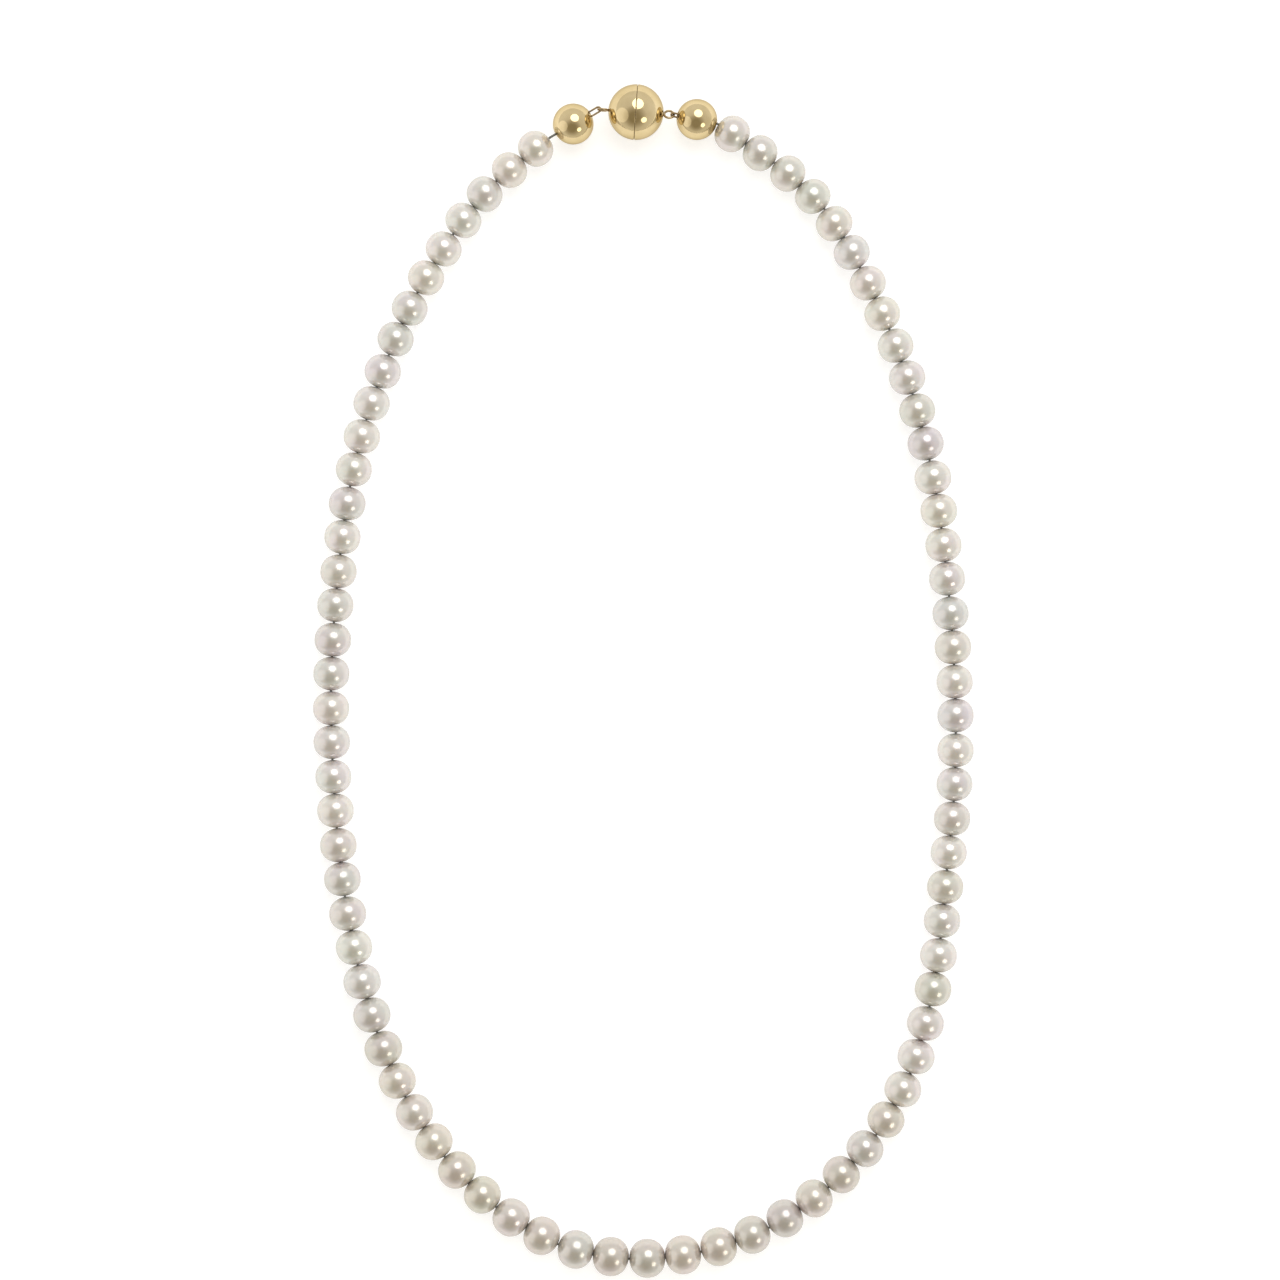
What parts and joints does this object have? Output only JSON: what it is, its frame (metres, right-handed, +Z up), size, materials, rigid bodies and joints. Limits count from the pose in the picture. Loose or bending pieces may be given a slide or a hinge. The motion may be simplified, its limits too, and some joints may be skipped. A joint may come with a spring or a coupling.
{
  "type": "pearl necklace",
  "caption": "Single strand of round white pearls on beading wire, with a gold bead beside each end and a two-part magnetic ball clasp, lying flat as a closed loop.",
  "frame": {"origin": "on the table under the middle of the loop's bounding box", "axes": "+Z up from the table, +Y from the front pearls to the clasp, +X to the right seen from above with the clasp at the top"},
  "size_m": [0.1409, 0.2541, 0.0118],
  "materials": {
    "pearl": "lustrous nacre",
    "gold": "polished",
    "plate": "satin",
    "wire": "coated",
    "crimp": "satin",
    "magnet": "nickel plated"
  },
  "bodies": {
    "front": {"front_pearls": "pearl", "front_thread": "wire"},
    "left_01": {"left_pearls_01": "pearl"},
    "left_02": {"left_pearls_02": "pearl"},
    "left_03": {"left_pearls_03": "pearl"},
    "left_04": {"left_pearls_04": "pearl"},
    "left_05": {"left_pearls_05": "pearl"},
    "left_06": {"left_pearls_06": "pearl"},
    "left_07": {"left_pearls_07": "pearl"},
    "left_08": {"left_pearls_08": "pearl", "left_thread_1": "wire"},
    "left_09": {"left_pearls_09": "pearl"},
    "left_10": {"left_pearls_10": "pearl"},
    "left_11": {"left_pearls_11": "pearl"},
    "left_12": {"left_pearls_12": "pearl"},
    "left_13": {"left_pearls_13": "pearl"},
    "left_14": {"left_pearls_14": "pearl"},
    "left_15": {"left_pearls_15": "pearl"},
    "left_16": {"left_pearls_16": "pearl", "left_thread_2": "wire"},
    "left_17": {"left_pearls_17": "pearl"},
    "left_18": {"left_pearls_18": "pearl"},
    "left_19": {"left_pearls_19": "pearl"},
    "left_end": {"left_wire_loop": "gold", "left_crimp": "crimp"},
    "left_bead": {"left_bead": "gold"},
    "left_eye": {"left_eye": "gold"},
    "left_clasp_half": {"left_shell": "gold", "left_face_plate": "plate", "left_magnet": "magnet"},
    "right_01": {"right_pearls_01": "pearl"},
    "right_02": {"right_pearls_02": "pearl"},
    "right_03": {"right_pearls_03": "pearl"},
    "right_04": {"right_pearls_04": "pearl"},
    "right_05": {"right_pearls_05": "pearl"},
    "right_06": {"right_pearls_06": "pearl"},
    "right_07": {"right_pearls_07": "pearl"},
    "right_08": {"right_pearls_08": "pearl", "right_thread_1": "wire"},
    "right_09": {"right_pearls_09": "pearl"},
    "right_10": {"right_pearls_10": "pearl"},
    "right_11": {"right_pearls_11": "pearl"},
    "right_12": {"right_pearls_12": "pearl"},
    "right_13": {"right_pearls_13": "pearl"},
    "right_14": {"right_pearls_14": "pearl"},
    "right_15": {"right_pearls_15": "pearl"},
    "right_16": {"right_pearls_16": "pearl", "right_thread_2": "wire"},
    "right_17": {"right_pearls_17": "pearl"},
    "right_18": {"right_pearls_18": "pearl"},
    "right_19": {"right_pearls_19": "pearl"},
    "right_end": {"right_wire_loop": "gold", "right_crimp": "crimp"},
    "right_bead": {"right_bead": "gold"},
    "right_eye": {"right_eye": "gold"},
    "right_clasp_half": {"right_shell": "gold", "right_face_plate": "plate", "right_magnet": "magnet"}
  },
  "joints": [
    {"name": "left_swing_01", "type": "hinge", "parent": "front", "child": "left_01", "pos_m": [-0.00299, -0.12304, 0.00407], "axis": [0, 0, 1], "range_deg": [0, 14], "deforming": ["front_thread"]},
    {"name": "left_lift_02", "type": "hinge", "parent": "left_01", "child": "left_02", "pos_m": [-0.01811, -0.1199, 0.00407], "axis": [0.9976, -0.0698, 0], "range_deg": [0, 20]},
    {"name": "left_swing_03", "type": "hinge", "parent": "left_02", "child": "left_03", "pos_m": [-0.03134, -0.11196, 0.00405], "axis": [0, 0, 1], "range_deg": [0, 14]},
    {"name": "left_lift_04", "type": "hinge", "parent": "left_03", "child": "left_04", "pos_m": [-0.04231, -0.10122, 0.00403], "axis": [0.9976, -0.0698, 0], "range_deg": [0, 20]},
    {"name": "left_swing_05", "type": "hinge", "parent": "left_04", "child": "left_05", "pos_m": [-0.05071, -0.0885, 0.00399], "axis": [0, 0, 1], "range_deg": [0, 14]},
    {"name": "left_lift_06", "type": "hinge", "parent": "left_05", "child": "left_06", "pos_m": [-0.05671, -0.07466, 0.00395], "axis": [0.9976, -0.0698, 0], "range_deg": [0, 20]},
    {"name": "left_swing_07", "type": "hinge", "parent": "left_06", "child": "left_07", "pos_m": [-0.06086, -0.0603, 0.00392], "axis": [0, 0, 1], "range_deg": [0, 14]},
    {"name": "left_lift_08", "type": "hinge", "parent": "left_07", "child": "left_08", "pos_m": [-0.0636, -0.04575, 0.00388], "axis": [0.9976, -0.0698, 0], "range_deg": [0, 20], "deforming": ["left_thread_1"]},
    {"name": "left_swing_09", "type": "hinge", "parent": "left_08", "child": "left_09", "pos_m": [-0.06534, -0.03115, 0.00386], "axis": [0, 0, 1], "range_deg": [0, 14]},
    {"name": "left_lift_10", "type": "hinge", "parent": "left_09", "child": "left_10", "pos_m": [-0.06625, -0.01654, 0.00385], "axis": [0.9976, -0.0698, 0], "range_deg": [0, 20]},
    {"name": "left_swing_11", "type": "hinge", "parent": "left_10", "child": "left_11", "pos_m": [-0.06656, -0.00193, 0.00385], "axis": [0, 0, 1], "range_deg": [0, 14]},
    {"name": "left_lift_12", "type": "hinge", "parent": "left_11", "child": "left_12", "pos_m": [-0.06594, 0.01268, 0.00385], "axis": [0.9976, -0.0698, 0], "range_deg": [0, 20]},
    {"name": "left_swing_13", "type": "hinge", "parent": "left_12", "child": "left_13", "pos_m": [-0.06456, 0.02723, 0.00385], "axis": [0, 0, 1], "range_deg": [0, 14]},
    {"name": "left_lift_14", "type": "hinge", "parent": "left_13", "child": "left_14", "pos_m": [-0.06248, 0.0417, 0.00385], "axis": [0.9976, -0.0698, 0], "range_deg": [0, 20]},
    {"name": "left_swing_15", "type": "hinge", "parent": "left_14", "child": "left_15", "pos_m": [-0.05901, 0.05589, 0.00385], "axis": [0, 0, 1], "range_deg": [0, 14]},
    {"name": "left_lift_16", "type": "hinge", "parent": "left_15", "child": "left_16", "pos_m": [-0.05423, 0.06971, 0.00385], "axis": [0.9976, -0.0698, 0], "range_deg": [0, 20], "deforming": ["left_thread_2"]},
    {"name": "left_swing_17", "type": "hinge", "parent": "left_16", "child": "left_17", "pos_m": [-0.04813, 0.08298, 0.00385], "axis": [0, 0, 1], "range_deg": [0, 14]},
    {"name": "left_lift_18", "type": "hinge", "parent": "left_17", "child": "left_18", "pos_m": [-0.04052, 0.09546, 0.00385], "axis": [0.9976, -0.0698, 0], "range_deg": [0, 20]},
    {"name": "left_swing_19", "type": "hinge", "parent": "left_18", "child": "left_19", "pos_m": [-0.03134, 0.10681, 0.00385], "axis": [0, 0, 1], "range_deg": [0, 14]},
    {"name": "left_end_twist", "type": "hinge", "parent": "left_19", "child": "left_end", "pos_m": [-0.01931, 0.11641, 0.00398], "axis": [0.9976, -0.0698, 0], "range_deg": [-20, 20]},
    {"name": "left_bead_slide", "type": "slide", "parent": "left_end", "child": "left_bead", "axis": [-0.8635, -0.4751, -0.169], "range_m": [0, 0.0012]},
    {"name": "left_link_pull", "type": "slide", "parent": "left_end", "child": "left_eye", "axis": [-0.8635, -0.4751, -0.169], "range_m": [0, 0.0005]},
    {"name": "left_clasp_swivel", "type": "hinge", "parent": "left_eye", "child": "left_clasp_half", "pos_m": [-0.0015, 0.12123, 0.0059], "axis": [-0.9976, 0.0698, 0], "continuous": true},
    {"name": "right_swing_01", "type": "hinge", "parent": "front", "child": "right_01", "pos_m": [0.01239, -0.12153, 0.00406], "axis": [0, 0, -1], "range_deg": [0, 14]},
    {"name": "right_lift_02", "type": "hinge", "parent": "right_01", "child": "right_02", "pos_m": [0.02691, -0.11639, 0.00404], "axis": [0.9976, -0.0698, 0], "range_deg": [0, 20]},
    {"name": "right_swing_03", "type": "hinge", "parent": "right_02", "child": "right_03", "pos_m": [0.03954, -0.10778, 0.00401], "axis": [0, 0, -1], "range_deg": [0, 14]},
    {"name": "right_lift_04", "type": "hinge", "parent": "right_03", "child": "right_04", "pos_m": [0.04976, -0.09658, 0.00397], "axis": [0.9976, -0.0698, 0], "range_deg": [0, 20]},
    {"name": "right_swing_05", "type": "hinge", "parent": "right_04", "child": "right_05", "pos_m": [0.05706, -0.08349, 0.00393], "axis": [0, 0, -1], "range_deg": [0, 14]},
    {"name": "right_lift_06", "type": "hinge", "parent": "right_05", "child": "right_06", "pos_m": [0.06114, -0.06919, 0.0039], "axis": [0.9976, -0.0698, 0], "range_deg": [0, 20]},
    {"name": "right_swing_07", "type": "hinge", "parent": "right_06", "child": "right_07", "pos_m": [0.06348, -0.05464, 0.00387], "axis": [0, 0, -1], "range_deg": [0, 14]},
    {"name": "right_lift_08", "type": "hinge", "parent": "right_07", "child": "right_08", "pos_m": [0.06483, -0.04004, 0.00385], "axis": [0.9976, -0.0698, 0], "range_deg": [0, 20], "deforming": ["right_thread_1"]},
    {"name": "right_swing_09", "type": "hinge", "parent": "right_08", "child": "right_09", "pos_m": [0.06628, -0.02549, 0.00385], "axis": [0, 0, -1], "range_deg": [0, 14]},
    {"name": "right_lift_10", "type": "hinge", "parent": "right_09", "child": "right_10", "pos_m": [0.06674, -0.01088, 0.00385], "axis": [0.9976, -0.0698, 0], "range_deg": [0, 20]},
    {"name": "right_swing_11", "type": "hinge", "parent": "right_10", "child": "right_11", "pos_m": [0.06636, 0.00374, 0.00385], "axis": [0, 0, -1], "range_deg": [0, 14]},
    {"name": "right_lift_12", "type": "hinge", "parent": "right_11", "child": "right_12", "pos_m": [0.06529, 0.01831, 0.00385], "axis": [0.9976, -0.0698, 0], "range_deg": [0, 20]},
    {"name": "right_swing_13", "type": "hinge", "parent": "right_12", "child": "right_13", "pos_m": [0.06365, 0.03284, 0.00385], "axis": [0, 0, -1], "range_deg": [0, 14]},
    {"name": "right_lift_14", "type": "hinge", "parent": "right_13", "child": "right_14", "pos_m": [0.06115, 0.04724, 0.00385], "axis": [0.9976, -0.0698, 0], "range_deg": [0, 20]},
    {"name": "right_swing_15", "type": "hinge", "parent": "right_14", "child": "right_15", "pos_m": [0.05751, 0.0614, 0.00385], "axis": [0, 0, -1], "range_deg": [0, 14]},
    {"name": "right_lift_16", "type": "hinge", "parent": "right_15", "child": "right_16", "pos_m": [0.05257, 0.07515, 0.00385], "axis": [0.9976, -0.0698, 0], "range_deg": [0, 20], "deforming": ["right_thread_2"]},
    {"name": "right_swing_17", "type": "hinge", "parent": "right_16", "child": "right_17", "pos_m": [0.04629, 0.08835, 0.00385], "axis": [0, 0, -1], "range_deg": [0, 14]},
    {"name": "right_lift_18", "type": "hinge", "parent": "right_17", "child": "right_18", "pos_m": [0.03873, 0.10083, 0.00385], "axis": [0.9976, -0.0698, 0], "range_deg": [0, 20]},
    {"name": "right_swing_19", "type": "hinge", "parent": "right_18", "child": "right_19", "pos_m": [0.02803, 0.11071, 0.00385], "axis": [0, 0, -1], "range_deg": [0, 14]},
    {"name": "right_end_twist", "type": "hinge", "parent": "right_19", "child": "right_end", "pos_m": [0.01583, 0.11906, 0.00389], "axis": [0.9976, -0.0698, 0], "range_deg": [-20, 20]},
    {"name": "right_bead_spin", "type": "hinge", "parent": "right_end", "child": "right_bead", "pos_m": [0.01147, 0.11981, 0.00483], "axis": [0.9637, -0.1667, -0.2085], "continuous": true},
    {"name": "right_link_pull", "type": "slide", "parent": "right_end", "child": "right_eye", "axis": [0.9637, -0.1667, -0.2085], "range_m": [0, 0.0005]},
    {"name": "right_clasp_swivel", "type": "hinge", "parent": "right_eye", "child": "right_clasp_half", "pos_m": [-0.0015, 0.12123, 0.0059], "axis": [0.9976, -0.0698, 0], "continuous": true}
  ]
}
